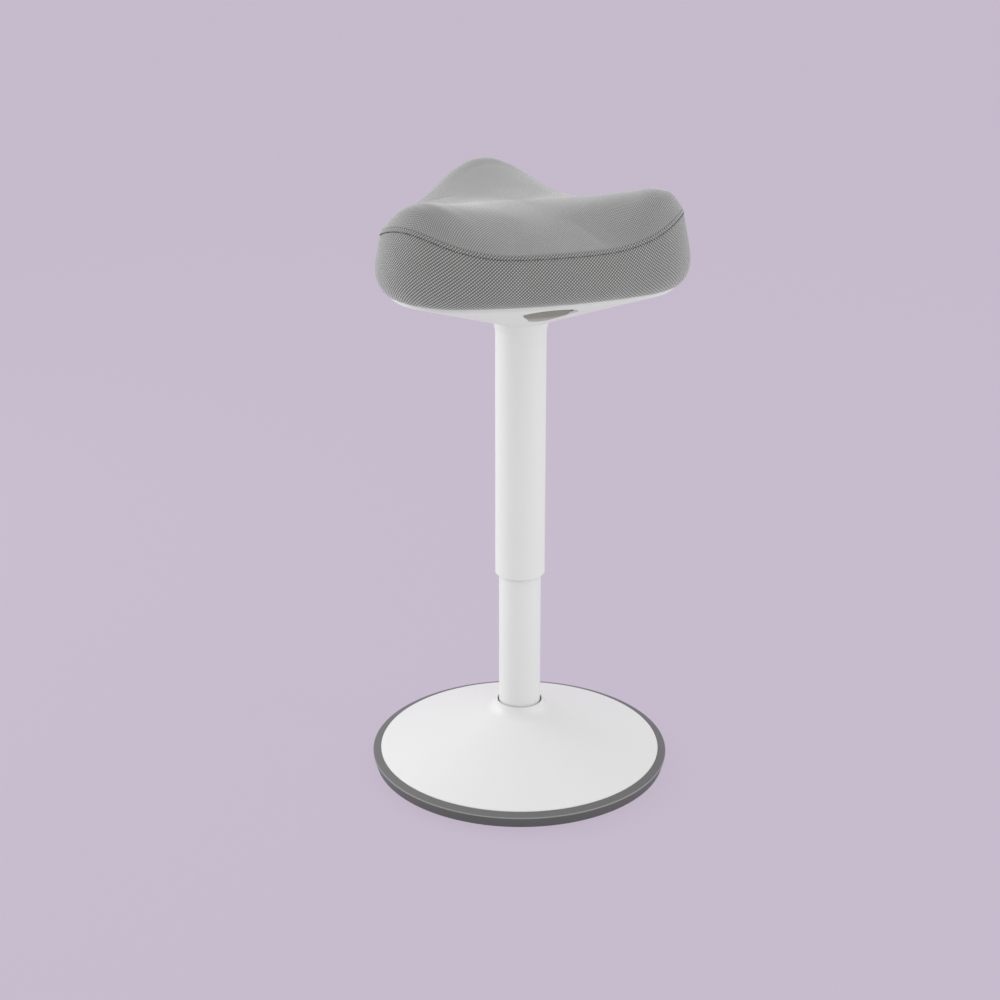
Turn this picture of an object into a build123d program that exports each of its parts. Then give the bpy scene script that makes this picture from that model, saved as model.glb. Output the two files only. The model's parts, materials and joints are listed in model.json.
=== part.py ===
from build123d import *
from math import atan2, cos, degrees, hypot, radians, sin, sqrt
import os

# Active sitting stool: a three-cornered saddle seat on a gas lift column, over a
# round weighted base. Origin at the centre of the floor contact, Z up, millimetres.
# The seat's corners point to +Y and to both front sides, and its release paddle
# faces -Y. The pieces stand at the shown height, between the lowest and the highest.

# Heights of the saddle's crest over the floor
seat_height_low = 590.0
seat_height_high = 835.0
seat_height_shown = 724.0

# Base: domed sole, bumper ring, ballast plate and spun cover
base_diameter = 360.0
sole_flat_diameter = 160.0
sole_thickness = 11.0
sole_rise = 6.3
ring_foot_height = 7.0
ring_undercut = 3.6
ring_edge_height = 20.6
ring_edge_land = 2.0
ring_top_height = 24.2
ring_land = 9.2
ring_grip = 6.0
ring_lip = 8.4
ring_edge_round = 0.9
ring_foot_round = 1.5
ballast_thickness = 8.0
ballast_bore = 44.0
cover_wall = 2.0
cover_rim_height = 24.8
cover_rim_round = 1.6
collar_height = 86.0
collar_bore = 54.0
collar_lip = 1.4
collar_foot_diameter = 78.0
collar_foot_height = 73.0
sole_screw_count = 6
sole_screw_circle_diameter = 240.0
sole_screw_diameter = 5.0
sole_screw_head = 9.0
sole_screw_recess = 5.0
sole_screw_head_depth = 2.6

# Hub on the ballast plate, which takes the column's tapered foot
hub_flange_diameter = 112.0
hub_flange_thickness = 5.0
hub_height = 50.0
hub_wall = 4.5
hub_weld = 4.0
hub_bolt_count = 4
hub_bolt_circle_diameter = 90.0
hub_bolt_diameter = 8.0
hub_bolt_head = 13.0
hub_bolt_head_depth = 5.0

# Gas lift: standing tube, guide bush, cylinder, rod, piston and swivel bearing
tube_diameter = 50.0
tube_wall = 2.0
tube_foot_taper = 1.2
tube_foot_lift = 3.0
tube_reserve = 9.3
tube_end_plate = 4.0
bush_length = 90.0
bush_flange = 3.0
cylinder_diameter = 28.0
cylinder_wall = 2.0
cylinder_lip = 2.0
cylinder_mouth = 18.0
taper_drop = 0.8
rod_diameter = 10.0
rod_neck_diameter = 8.0
rod_tail = 5.0
race_diameter = 30.0
race_thickness = 2.5
ball_count = 8
ball_diameter = 5.0
ball_circle_diameter = 20.0
cage_thickness = 2.0
cage_width = 8.0
buffer_diameter = 24.0
buffer_height = 12.0
buffer_reserve = 4.0
clip_thickness = 1.5
clip_diameter = 14.0
clip_groove_depth = 1.2
rod_guide_height = 14.0
piston_reserve = 5.0
piston_height = 14.0
piston_stud_diameter = 7.0
piston_nut_width = 11.0
piston_nut_height = 4.0
seal_height = 4.0
seal_depth = 1.8
valve_body_height = 48.0
valve_pin_diameter = 8.0
valve_pin_length = 28.0
valve_pin_reach = 8.0
valve_pin_round = 1.0

# Outer sleeve and the seat's plastic underside shell
sleeve_diameter = 59.0
sleeve_wall = 1.5
sleeve_length = 312.0
sleeve_edge_round = 0.6
neck_diameter = 64.0
neck_bevel = 2.0
neck_height = 10.5
neck_socket_depth = 11.5
neck_passage = 48.0
shell_wall = 2.8
shell_rim_wall = 2.5
shell_slope_height = 47.5
shell_rim_inset = 17.5
shell_rim_height = 4.2
shell_screw_circle_diameter = 236.0
shell_screw_diameter = 4.0
shell_screw_head = 7.0
shell_screw_head_depth = 2.5
shell_boss_diameter = 11.0
shell_boss_bore = 8.0
shell_boss_floor = 15.0
shell_screw_bite = 7.0

# Seat: constant-width rounded triangle, at the widest level of its side
seat_width = 345.0
seat_corner_radius = 94.0
seat_side_radius = 430.0
cushion_height = 106.7
cushion_roll_inset = 15.5
cushion_roll_height = 27.0
seam_height_low = 59.0
seam_height_high = 84.0
seam_draw_in = 0.21
crown_low = 64.0
crown_middle = 73.0
crown_fall_power = 2.2
crown_rise_power = 1.4
roll_start_turn = 20.0
roll_steps = 3
shoulder_share = 0.93
shoulder_drop_low = 2.3
shoulder_drop_high = 6.5
crest_share = 0.82
middle_share = 0.12
saddle_steps = 5
cover_thickness = 2.0
pan_inset = 20.5
pan_thickness = 10.0

# Seat bracket and its bolts
bracket_width = 62.0
bracket_length = 72.0
bracket_gauge = 3.0
bracket_flange = 31.0
bracket_web_drop = 40.0
bracket_bend = 2.0
bracket_bolt_spacing_x = 96.0
bracket_bolt_spacing_y = 48.0
bracket_bolt_diameter = 6.0
bracket_bolt_head = 11.0
bracket_bolt_head_depth = 4.0
tee_nut_flange = 18.0
tee_nut_flange_depth = 1.5
tee_nut_barrel = 8.6
tee_nut_depth = 8.5
socket_diameter = 38.0
socket_length = 38.0
socket_stand = 4.0
cylinder_stand = 2.0

# Release lever and paddle
lever_pivot_reach = 45.0
lever_pin_diameter = 5.0
lever_barrel_diameter = 10.0
lever_barrel_play = 0.5
lever_width = 16.0
lever_gauge = 3.0
lever_tip = 8.0
lever_end = 80.0
lever_corner_round = 4.0
ear_reach = 8.0
ear_round = 7.2
pin_stub = 3.0
pin_clip_diameter = 10.0
pin_clip_thickness = 1.0
paddle_width = 63.0
paddle_reach = 130.0
paddle_tip_reach = 107.0
paddle_neck_width = 30.0
paddle_neck_reach = 77.0
paddle_inner_reach = 65.0
paddle_wall = 7.0
paddle_headroom = 6.0
paddle_crease_reach = 100.0
paddle_crease_depth = 5.0
paddle_lip_run = 8.0
paddle_edge_depth = 0.5
paddle_seat_start = 68.0
paddle_screw_diameter = 4.0
paddle_screw_head = 7.0
paddle_screw_head_depth = 2.0
paddle_screw_bite = 4.0

# Clearances
press_gap = 0.05
running_gap = 0.08
soft_gap = 0.3
cover_gap = 0.6
paddle_gap = 1.0
rolling_gap = 0.1

# Levels worked out upward from the floor
base_radius = base_diameter / 2
drop = seat_height_shown - seat_height_low
rise = seat_height_high - seat_height_shown
ballast_top = sole_thickness + ballast_thickness
hub_top = ballast_top + hub_height
tube_bottom = ballast_top + tube_foot_lift
race_bottom = tube_bottom + tube_end_plate
ball_bottom = race_bottom + race_thickness + rolling_gap
ball_top = ball_bottom + ball_diameter
race_top = ball_top + rolling_gap + race_thickness
buffer_top = race_top + buffer_height
cylinder_bottom = buffer_top + buffer_reserve + drop
piston_bottom = cylinder_bottom + rise + cylinder_lip + rod_guide_height + piston_reserve
piston_top = piston_bottom + piston_height

# Levels worked out downward from the saddle's crest
cushion_bottom = seat_height_shown - cushion_height
shell_rim_top = cushion_bottom - cover_gap
shell_rim_bottom = shell_rim_top - shell_rim_height
neck_top = shell_rim_bottom - shell_slope_height
neck_bottom = neck_top - neck_height
sleeve_top = neck_bottom + neck_socket_depth
sleeve_bottom = sleeve_top - sleeve_length
band_middle_low = (cushion_roll_height + seam_height_low) / 2
band_middle_high = (cushion_roll_height + seam_height_high) / 2
pan_top = cushion_bottom + pan_thickness
flange_bottom = cushion_bottom - bracket_gauge
web_bottom = cushion_bottom - bracket_web_drop
web_top = web_bottom + bracket_gauge
socket_top = web_top + socket_stand
socket_bottom = socket_top - socket_length
cylinder_top = socket_top + cylinder_stand
valve_pin_top = cylinder_top + valve_pin_reach
lever_bottom = valve_pin_top + soft_gap
lever_top = lever_bottom + lever_gauge
pivot_height = lever_bottom + lever_gauge / 2
bush_top = socket_bottom - drop - tube_reserve
tube_top = bush_top - bush_flange

# Radii
tube_radius = tube_diameter / 2
tube_inner = tube_radius - tube_wall
cylinder_radius = cylinder_diameter / 2
cylinder_bore = cylinder_radius - cylinder_wall
rod_radius = rod_diameter / 2
rod_neck_radius = rod_neck_diameter / 2
sleeve_radius = sleeve_diameter / 2
neck_radius = neck_diameter / 2
ring_inner = base_radius - ring_land
ballast_radius = base_radius - ring_grip
cover_radius = ring_inner - soft_gap
sole_radius = base_radius - ring_undercut - ring_lip - soft_gap

# Rounded triangle: the centres of its corner arcs and of its side arcs
arc_gap = seat_side_radius - seat_corner_radius
arc_sum = seat_side_radius + seat_corner_radius - seat_width
corner_centre = (sqrt(12 * arc_gap**2 - 3 * arc_sum**2) - 3 * arc_sum) / 6
side_centre = corner_centre + arc_sum
side_span = degrees(atan2(corner_centre * sqrt(3) / 2, corner_centre / 2 + side_centre))
corner_span = 60.0 - side_span
corner_turns = (90.0, 210.0, 330.0)
# Share of the corners' rise at an arc's end, where tilted arcs meet without a kink
corner_bend = sin(radians(corner_span)) / (1 - cos(radians(corner_span))) / seat_corner_radius
side_bend = sin(radians(side_span)) / (1 - cos(radians(side_span))) / seat_side_radius
joint_share = corner_bend / (corner_bend + side_bend)


def rim_point(turn, inset):
    """Point of the seat's outline where its outward normal has this angle."""
    away = (turn - corner_turns[0] + 60.0) % 120.0 - 60.0
    corner = turn - away
    if abs(away) <= corner_span + 1e-6:
        aim, reach, radius = corner, corner_centre, seat_corner_radius - inset
    else:
        aim = corner + (60.0 if away > 0 else -60.0)
        reach, radius = -side_centre, seat_side_radius - inset
    x = reach * cos(radians(aim)) + radius * cos(radians(turn))
    y = reach * sin(radians(aim)) + radius * sin(radians(turn))
    return x, y


def corner_share(turn):
    """0 at the middle of a side, 1 at a corner, as the tilt of each arc carries it."""
    away = abs((turn - corner_turns[0] + 60.0) % 120.0 - 60.0)
    if away <= corner_span + 1e-6:
        fall = (1 - cos(radians(away))) / (1 - cos(radians(corner_span)))
        return 1.0 - (1.0 - joint_share) * fall
    return joint_share * (1 - cos(radians(60.0 - away))) / (1 - cos(radians(side_span)))


def arc_spans():
    """Start, middle and end angles of the outline's corner arcs and side arcs."""
    spans = []
    for corner in corner_turns:
        side_end = corner + 120.0 - corner_span
        spans.append((corner - corner_span, corner, corner + corner_span))
        spans.append((corner + corner_span, corner + 60.0, side_end))
    return spans


def outline_arcs(inset):
    """Draws the seat's outline, drawn in by the inset, on the current sketch."""
    for span in arc_spans():
        ThreePointArc(*[rim_point(turn, inset) for turn in span])


def round_arcs(radius):
    """Draws a circle in as many arcs as the outline, so that the two loft."""
    for span in arc_spans():
        turns = [radians(turn) for turn in span]
        ThreePointArc(*[(radius * cos(turn), radius * sin(turn)) for turn in turns])


def loop(place):
    """Closed wire of arcs through the points that place gives for each angle."""
    with BuildLine() as path:
        for span in arc_spans():
            ThreePointArc(*[place(turn) for turn in span])
    return path.wire()


def side_loop(inset, low, high):
    """Loop round the seat's side, at one height by the sides, another by the corners."""

    def place(turn):
        lift = low + (high - low) * corner_share(turn)
        drawn = inset if low == high else inset + seam_draw_in * (lift - cushion_roll_height)
        x, y = rim_point(turn, drawn)
        return Vector(x, y, cushion_bottom + lift)

    return loop(place)


def top_loop(share, inset, low, high):
    """Loop across the saddle: the seam's outline shrunk by a share, at its own heights."""

    def place(turn):
        lift = seam_height_low + (seam_height_high - seam_height_low) * corner_share(turn)
        x, y = rim_point(turn, inset + seam_draw_in * (lift - cushion_roll_height))
        height = cushion_bottom + low + (high - low) * corner_share(turn)
        return Vector(x * share, y * share, height)

    return loop(place)


def cushion_form(skin):
    """Crowned cushion from its roll to the middle of the saddle, thinner by the skin."""
    crest = cushion_height - skin
    side = crown_low - skin
    middle = crown_middle - skin
    loops = []
    for step in range(roll_steps + 1):
        turn = radians(roll_start_turn + (90.0 - roll_start_turn) * step / roll_steps)
        inset = cushion_roll_inset * (1 - sin(turn)) / (1 - sin(radians(roll_start_turn)))
        lift = cushion_roll_height * (1 - cos(turn) / cos(radians(roll_start_turn)))
        loops.append(side_loop(inset + skin, lift, lift))
    loops += [
        side_loop(skin, band_middle_low, band_middle_high),
        side_loop(skin, seam_height_low - skin / 2, seam_height_high - skin / 2),
        top_loop(shoulder_share, skin, side - shoulder_drop_low, crest - shoulder_drop_high),
        top_loop(crest_share, skin, side, crest),
    ]
    for step in range(1, saddle_steps):
        share = crest_share + (middle_share - crest_share) * step / saddle_steps
        way = share / crest_share
        low = middle + (side - middle) * way**crown_fall_power
        high = middle + (crest - middle) * way**crown_rise_power
        loops.append(top_loop(share, skin, low, high))
    loops.append(top_loop(middle_share, skin, middle, middle))
    return Solid.make_loft(loops)


def cover_form():
    """Cover round the foam: two cushion forms, one in the other, joined at the bottom."""
    outer_faces = cushion_form(0.0).faces().sort_by(Axis.Z)
    inner_faces = cushion_form(cover_thickness).faces().sort_by(Axis.Z)
    hem = Face(outer_faces[0].outer_wire(), [inner_faces[0].outer_wire()])
    return Solid(Shell([hem] + outer_faces[1:] + inner_faces[1:]))


def seam_form():
    """Everything under the seam, as a solid that reaches past the cushion's side."""
    reach = cushion_roll_inset
    loops = [
        side_loop(-reach, -reach, -reach),
        top_loop(1.0, -reach, seam_height_low, seam_height_high),
        top_loop(crest_share, 0.0, seam_height_low, seam_height_high),
        top_loop(middle_share, 0.0, cushion_roll_height, cushion_roll_height),
    ]
    return Solid.make_loft(loops, True)


def turned(*points):
    """Adds the solid that a closed profile of (radius, height) points makes round Z."""
    with BuildSketch(Plane.XZ) as profile:
        with BuildLine():
            Polyline(*points, close=True)
        make_face()
    revolve(profile.sketch, axis=Axis.Z)


def ring(inner, outer, bottom, top):
    """Adds a plain ring round Z."""
    turned((inner, bottom), (outer, bottom), (outer, top), (inner, top))


def drilled(radius, bottom, top, places):
    """Cuts upright holes at the given places."""
    with BuildSketch(Plane.XY.offset(bottom)) as plan:
        with places:
            Circle(radius)
    extrude(plan.sketch, amount=top - bottom, mode=Mode.SUBTRACT)


def studs(radius, bottom, top, places, sides=0):
    """Adds upright pins, or prisms of some sides, at the given places."""
    with BuildSketch(Plane.XY.offset(bottom)) as plan:
        with places:
            if sides:
                RegularPolygon(radius, sides)
            else:
                Circle(radius)
    extrude(plan.sketch, amount=top - bottom)


def write(piece, name):
    """Labels a finished piece and writes its file."""
    piece.part.label = name
    export_step(piece.part, f"parts/{name}.step")


def shell_height(reach):
    """Height of the underside shell's outer face along the paddle's side."""
    rim = side_reach - shell_rim_inset
    return neck_top + (reach - neck_radius) * (shell_rim_bottom - neck_top) / (rim - neck_radius)


side_reach = seat_side_radius - side_centre
os.makedirs("parts", exist_ok=True)

# Base: the domed sole, flat in the middle, with recessed screws
sole_screw_places = PolarLocations(sole_screw_circle_diameter / 2, sole_screw_count)
sole_screw_seat = sole_screw_recess + sole_screw_head_depth
with BuildPart() as sole:
    with BuildSketch(Plane.XZ):
        with BuildLine():
            flat_edge = (sole_flat_diameter / 2, 0.0)
            dome_edge = (sole_radius, sole_rise)
            Line((0.0, 0.0), flat_edge)
            TangentArc(flat_edge, dome_edge, tangent=(1.0, 0.0))
            Polyline(dome_edge, (sole_radius, sole_thickness), (0.0, sole_thickness), (0.0, 0.0))
        make_face()
    revolve(axis=Axis.Z)
    drilled(sole_screw_head / 2 + soft_gap, 0.0, sole_screw_seat, sole_screw_places)
    drilled(sole_screw_diameter / 2 + soft_gap, 0.0, sole_thickness, sole_screw_places)
write(sole, "sole")

# Bumper ring: a channel that grips the ballast plate's edge, undercut to the foot
with BuildPart() as rim_ring:
    with BuildSketch(Plane.XZ) as ring_profile:
        with BuildLine():
            foot_radius = base_radius - ring_undercut
            Polyline(
                (ring_inner, ballast_top),
                (ring_inner, ring_top_height),
                (base_radius, ring_edge_height + ring_edge_land / 2),
                (base_radius, ring_edge_height - ring_edge_land / 2),
                (foot_radius, ring_foot_height),
                (foot_radius - ring_lip, ring_foot_height),
                (foot_radius - ring_lip, sole_thickness),
                (ballast_radius + press_gap, sole_thickness),
                (ballast_radius + press_gap, ballast_top),
                close=True,
            )
        make_face()
        fillet(ring_profile.vertices().group_by(Axis.X)[-1], radius=ring_edge_round)
        foot_corner = ring_profile.vertices().group_by(Axis.Y)[0].sort_by(Axis.X)[-1]
        fillet(foot_corner, radius=ring_foot_round)
    revolve(axis=Axis.Z)
write(rim_ring, "rim_ring")

hub_bolt_places = PolarLocations(hub_bolt_circle_diameter / 2, hub_bolt_count, start_angle=45.0)
with BuildPart() as ballast_plate:
    ring(ballast_bore / 2, ballast_radius, sole_thickness, ballast_top)
    drilled(hub_bolt_diameter / 2 + press_gap, sole_thickness, ballast_top, hub_bolt_places)
    drilled(sole_screw_diameter / 2 + press_gap, sole_thickness, ballast_top, sole_screw_places)
write(ballast_plate, "ballast_plate")

with BuildPart() as sole_screws:
    studs(sole_screw_head / 2, sole_screw_recess, sole_screw_seat, sole_screw_places)
    studs(sole_screw_diameter / 2, sole_screw_recess, ballast_top, sole_screw_places)
write(sole_screws, "sole_screws")

# Spun cover: a shallow cone that sweeps up into the collar round the column
with BuildPart() as base_cover:
    with BuildSketch(Plane.XZ) as cover_profile:
        with BuildLine():
            rim = (cover_radius, cover_rim_height)
            foot = (collar_foot_diameter / 2, collar_foot_height)
            lip = (collar_bore / 2 + collar_lip, collar_height)
            slope = (foot[0] - rim[0], foot[1] - rim[1])
            drop_wall = cover_wall * hypot(*slope) / abs(slope[0])
            Polyline((cover_radius, ballast_top), rim, foot)
            TangentArc(foot, lip, tangent=slope)
            Polyline(
                lip,
                (collar_bore / 2, collar_height),
                (collar_bore / 2, collar_foot_height - drop_wall),
                (foot[0], foot[1] - drop_wall),
                (cover_radius - cover_wall, cover_rim_height - drop_wall),
                (cover_radius - cover_wall, ballast_top),
                (cover_radius, ballast_top),
            )
        make_face()
        rim_corner = cover_profile.vertices().group_by(Axis.X)[-1].sort_by(Axis.Y)[-1]
        fillet(rim_corner, radius=cover_rim_round)
    revolve(axis=Axis.Z)
write(base_cover, "base_cover")

# Hub: a flanged socket with the bore tapered to the column's foot
hub_bore_top = tube_radius + press_gap
hub_bore_bottom = hub_bore_top - tube_foot_taper
hub_radius = tube_radius + hub_wall
hub_flange_top = ballast_top + hub_flange_thickness
with BuildPart() as hub_socket:
    turned(
        (hub_bore_bottom, ballast_top),
        (hub_flange_diameter / 2, ballast_top),
        (hub_flange_diameter / 2, hub_flange_top),
        (hub_radius + hub_weld, hub_flange_top),
        (hub_radius, hub_flange_top + hub_weld),
        (hub_radius, hub_top),
        (hub_bore_top, hub_top),
    )
    drilled(hub_bolt_diameter / 2 + press_gap, ballast_top, hub_flange_top, hub_bolt_places)
write(hub_socket, "hub_socket")

with BuildPart() as hub_bolts:
    studs(hub_bolt_diameter / 2, sole_thickness, hub_flange_top, hub_bolt_places)
    hub_bolt_top = hub_flange_top + hub_bolt_head_depth
    studs(hub_bolt_head / 2, hub_flange_top, hub_bolt_top, hub_bolt_places, sides=6)
write(hub_bolts, "hub_bolts")

# Standing tube: tapered foot in the hub, closed by an end plate for the bearing
foot_inset = tube_foot_taper * (hub_top - tube_bottom) / hub_height
plate_inset = tube_foot_taper * (hub_top - race_bottom) / hub_height
with BuildPart() as lower_tube:
    turned(
        (rod_neck_radius + soft_gap, tube_bottom),
        (tube_radius - foot_inset, tube_bottom),
        (tube_radius, hub_top),
        (tube_radius, tube_top),
        (tube_inner, tube_top),
        (tube_inner, hub_top),
        (tube_inner - plate_inset, race_bottom),
        (rod_neck_radius + soft_gap, race_bottom),
    )
write(lower_tube, "lower_tube")

with BuildPart() as guide_bush:
    turned(
        (cylinder_radius + running_gap, tube_top - bush_length),
        (tube_inner - press_gap, tube_top - bush_length),
        (tube_inner - press_gap, tube_top),
        (tube_radius, tube_top),
        (tube_radius, bush_top),
        (cylinder_radius + running_gap, bush_top),
    )
write(guide_bush, "guide_bush")

# Swivel bearing at the foot of the rod
race_bore = rod_neck_radius + press_gap
with BuildPart() as lower_race:
    ring(rod_neck_radius + soft_gap, race_diameter / 2, race_bottom, race_bottom + race_thickness)
write(lower_race, "lower_race")

ball_places = PolarLocations(ball_circle_diameter / 2, ball_count)
ball_middle = ball_bottom + ball_diameter / 2
with BuildPart(Plane.XY.offset(ball_middle)) as bearing_balls:
    with ball_places:
        Sphere(ball_diameter / 2)
write(bearing_balls, "bearing_balls")

with BuildPart() as ball_cage:
    cage_bottom = ball_middle - cage_thickness / 2
    cage_inner = (ball_circle_diameter - cage_width) / 2
    cage_outer = (ball_circle_diameter + cage_width) / 2
    ring(cage_inner, cage_outer, cage_bottom, cage_bottom + cage_thickness)
    drilled(ball_diameter / 2 + rolling_gap, cage_bottom, cage_bottom + cage_thickness, ball_places)
write(ball_cage, "ball_cage")

with BuildPart() as upper_race:
    ring(race_bore, race_diameter / 2, race_top - race_thickness, race_top)
write(upper_race, "upper_race")

# Rod: shoulder on the bearing, clip groove under the end plate, stud for the piston
clip_top = tube_bottom - soft_gap
clip_bottom = clip_top - clip_thickness
groove_radius = rod_neck_radius - clip_groove_depth
rod_end = tube_bottom - rod_tail
stud_radius = piston_stud_diameter / 2
nut_top = piston_top + piston_nut_height
with BuildPart() as piston_rod:
    turned(
        (0.0, rod_end),
        (rod_neck_radius, rod_end),
        (rod_neck_radius, clip_bottom),
        (groove_radius, clip_bottom),
        (groove_radius, clip_top),
        (rod_neck_radius, clip_top),
        (rod_neck_radius, race_top),
        (rod_radius, race_top),
        (rod_radius, piston_bottom),
        (stud_radius, piston_bottom),
        (stud_radius, nut_top),
        (0.0, nut_top),
    )
write(piston_rod, "piston_rod")

with BuildPart() as rod_clip:
    ring(groove_radius + press_gap, clip_diameter / 2, clip_bottom, clip_top)
    with BuildSketch(Plane.XY.offset(clip_bottom)):
        with Locations((clip_diameter / 2, 0.0)):
            Rectangle(clip_diameter, 2 * groove_radius)
    extrude(amount=clip_thickness, mode=Mode.SUBTRACT)
write(rod_clip, "rod_clip")

with BuildPart() as stop_buffer:
    ring(rod_radius + soft_gap, buffer_diameter / 2, race_top + press_gap, buffer_top)
write(stop_buffer, "stop_buffer")

seal_bottom = piston_bottom + (piston_height - seal_height) / 2
seal_top = seal_bottom + seal_height
piston_radius = cylinder_bore - running_gap
with BuildPart() as piston:
    turned(
        (stud_radius + press_gap, piston_bottom),
        (piston_radius, piston_bottom),
        (piston_radius, seal_bottom),
        (piston_radius - seal_depth, seal_bottom),
        (piston_radius - seal_depth, seal_top),
        (piston_radius, seal_top),
        (piston_radius, piston_top),
        (stud_radius + press_gap, piston_top),
    )
write(piston, "piston")

with BuildPart() as piston_seal:
    seal_inner = piston_radius - seal_depth + press_gap
    ring(seal_inner, piston_radius, seal_bottom + press_gap, seal_top - press_gap)
write(piston_seal, "piston_seal")

with BuildPart() as piston_nut:
    with BuildSketch(Plane.XY.offset(piston_top)):
        RegularPolygon(piston_nut_width / 2, 6)
        Circle(stud_radius + press_gap, mode=Mode.SUBTRACT)
    extrude(amount=piston_nut_height)
write(piston_nut, "piston_nut")

# Gas cylinder: crimped at the bottom, tapered at the top where the seat is carried
pin_radius = valve_pin_diameter / 2
cap_bottom = cylinder_top - cylinder_lip
with BuildPart() as gas_cylinder:
    turned(
        (cylinder_mouth / 2, cylinder_bottom),
        (cylinder_radius, cylinder_bottom),
        (cylinder_radius, socket_bottom),
        (cylinder_radius - taper_drop, cylinder_top),
        (pin_radius + running_gap, cylinder_top),
        (pin_radius + running_gap, cap_bottom),
        (cylinder_bore, cap_bottom),
        (cylinder_bore, cylinder_bottom + cylinder_lip),
        (cylinder_mouth / 2, cylinder_bottom + cylinder_lip),
    )
write(gas_cylinder, "gas_cylinder")

with BuildPart() as rod_guide:
    guide_bottom = cylinder_bottom + cylinder_lip
    guide_top = guide_bottom + rod_guide_height
    ring(rod_radius + running_gap, cylinder_bore - press_gap, guide_bottom, guide_top)
write(rod_guide, "rod_guide")

valve_bottom = cap_bottom - valve_body_height
pin_bottom = valve_pin_top - valve_pin_length
pin_well = pin_bottom - valve_pin_reach
with BuildPart() as valve_body:
    ring(0.0, cylinder_bore - press_gap, valve_bottom, cap_bottom)
    drilled(pin_radius + running_gap, pin_well, cap_bottom, Locations((0.0, 0.0)))
write(valve_body, "valve_body")

with BuildPart() as valve_pin:
    with BuildSketch(Plane.XY.offset(pin_bottom)):
        Circle(pin_radius)
    extrude(amount=valve_pin_length)
    fillet(valve_pin.edges().group_by(Axis.Z)[-1], radius=valve_pin_round)
write(valve_pin, "valve_pin")

# Outer sleeve over the gas lift, held in the shell's neck
with BuildPart() as column_sleeve:
    ring(sleeve_radius - sleeve_wall, sleeve_radius, sleeve_bottom, sleeve_top)
    fillet(column_sleeve.edges().group_by(Axis.Z)[0], radius=sleeve_edge_round)
write(column_sleeve, "column_sleeve")

# Socket and bracket that carry the seat on the cylinder's taper
taper_share = (socket_top - socket_bottom) / (cylinder_top - socket_bottom)
socket_bore_bottom = cylinder_radius + press_gap
socket_bore_top = socket_bore_bottom - taper_drop * taper_share
with BuildPart() as taper_socket:
    turned(
        (socket_bore_bottom, socket_bottom),
        (socket_diameter / 2, socket_bottom),
        (socket_diameter / 2, socket_top),
        (socket_bore_top, socket_top),
    )
write(taper_socket, "taper_socket")

wall_inner = bracket_width / 2 - bracket_gauge
bracket_bolt_places = GridLocations(bracket_bolt_spacing_x, bracket_bolt_spacing_y, 2, 2)
pin_hole = lever_pin_diameter / 2 + press_gap
with BuildPart() as seat_bracket:
    with BuildSketch(Plane.XZ) as hat:
        with BuildLine() as half_hat:
            Polyline(
                (0.0, web_bottom),
                (bracket_width / 2, web_bottom),
                (bracket_width / 2, flange_bottom),
                (bracket_width / 2 + bracket_flange, flange_bottom),
                (bracket_width / 2 + bracket_flange, cushion_bottom),
                (wall_inner, cushion_bottom),
                (wall_inner, web_top),
                (0.0, web_top),
            )
            mirror(about=Plane.YZ)
        make_face()
        bends = hat.vertices().filter_by_position(Axis.X, -bracket_width / 2, bracket_width / 2)
        fillet(bends, radius=bracket_bend)
    extrude(amount=bracket_length / 2, both=True)
    ear_front = -lever_pivot_reach - ear_reach
    with BuildSketch(Plane.YZ.offset(wall_inner)) as ear:
        with BuildLine():
            Polyline(
                (-bracket_length / 2, flange_bottom),
                (ear_front, flange_bottom),
                (ear_front, pivot_height - ear_reach),
                (-bracket_length / 2, pivot_height - ear_reach),
                close=True,
            )
        make_face()
        fillet(ear.vertices().group_by(Axis.X)[0].sort_by(Axis.Y)[0], radius=ear_round)
        with Locations((-lever_pivot_reach, pivot_height)):
            Circle(pin_hole, mode=Mode.SUBTRACT)
    extrude(amount=bracket_gauge)
    mirror(about=Plane.YZ)
    drilled(socket_diameter / 2 + press_gap, web_bottom, web_top, Locations((0.0, 0.0)))
    bolt_hole = bracket_bolt_diameter / 2 + press_gap
    drilled(bolt_hole, flange_bottom, cushion_bottom, bracket_bolt_places)
write(seat_bracket, "seat_bracket")

with BuildPart() as bracket_bolts:
    bolt_head_bottom = flange_bottom - bracket_bolt_head_depth
    studs(bracket_bolt_head / 2, bolt_head_bottom, flange_bottom, bracket_bolt_places, sides=6)
    studs(bracket_bolt_diameter / 2, flange_bottom, pan_top - tee_nut_flange_depth, bracket_bolt_places)
write(bracket_bolts, "bracket_bolts")

nut_flange_bottom = pan_top - tee_nut_flange_depth
nut_bottom = pan_top - tee_nut_depth
with BuildPart() as tee_nuts:
    studs(tee_nut_flange / 2, nut_flange_bottom, pan_top, bracket_bolt_places)
    studs(tee_nut_barrel / 2, nut_bottom, pan_top, bracket_bolt_places)
    drilled(bracket_bolt_diameter / 2 + press_gap, nut_bottom, pan_top, bracket_bolt_places)
write(tee_nuts, "tee_nuts")

# Seat pan inside the upholstery
shell_screw_places = PolarLocations(shell_screw_circle_diameter / 2, len(corner_turns), corner_turns[0])
shell_screw_top = cushion_bottom + shell_screw_bite
with BuildPart() as seat_pan:
    with BuildSketch(Plane.XY.offset(cushion_bottom)):
        with BuildLine():
            outline_arcs(pan_inset)
        make_face()
    extrude(amount=pan_thickness)
    drilled(tee_nut_flange / 2 + press_gap, nut_flange_bottom, pan_top, bracket_bolt_places)
    drilled(tee_nut_barrel / 2 + press_gap, nut_bottom, pan_top, bracket_bolt_places)
    drilled(bolt_hole, cushion_bottom, pan_top, bracket_bolt_places)
    drilled(shell_screw_diameter / 2 + press_gap, cushion_bottom, shell_screw_top, shell_screw_places)
write(seat_pan, "seat_pan")

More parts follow.
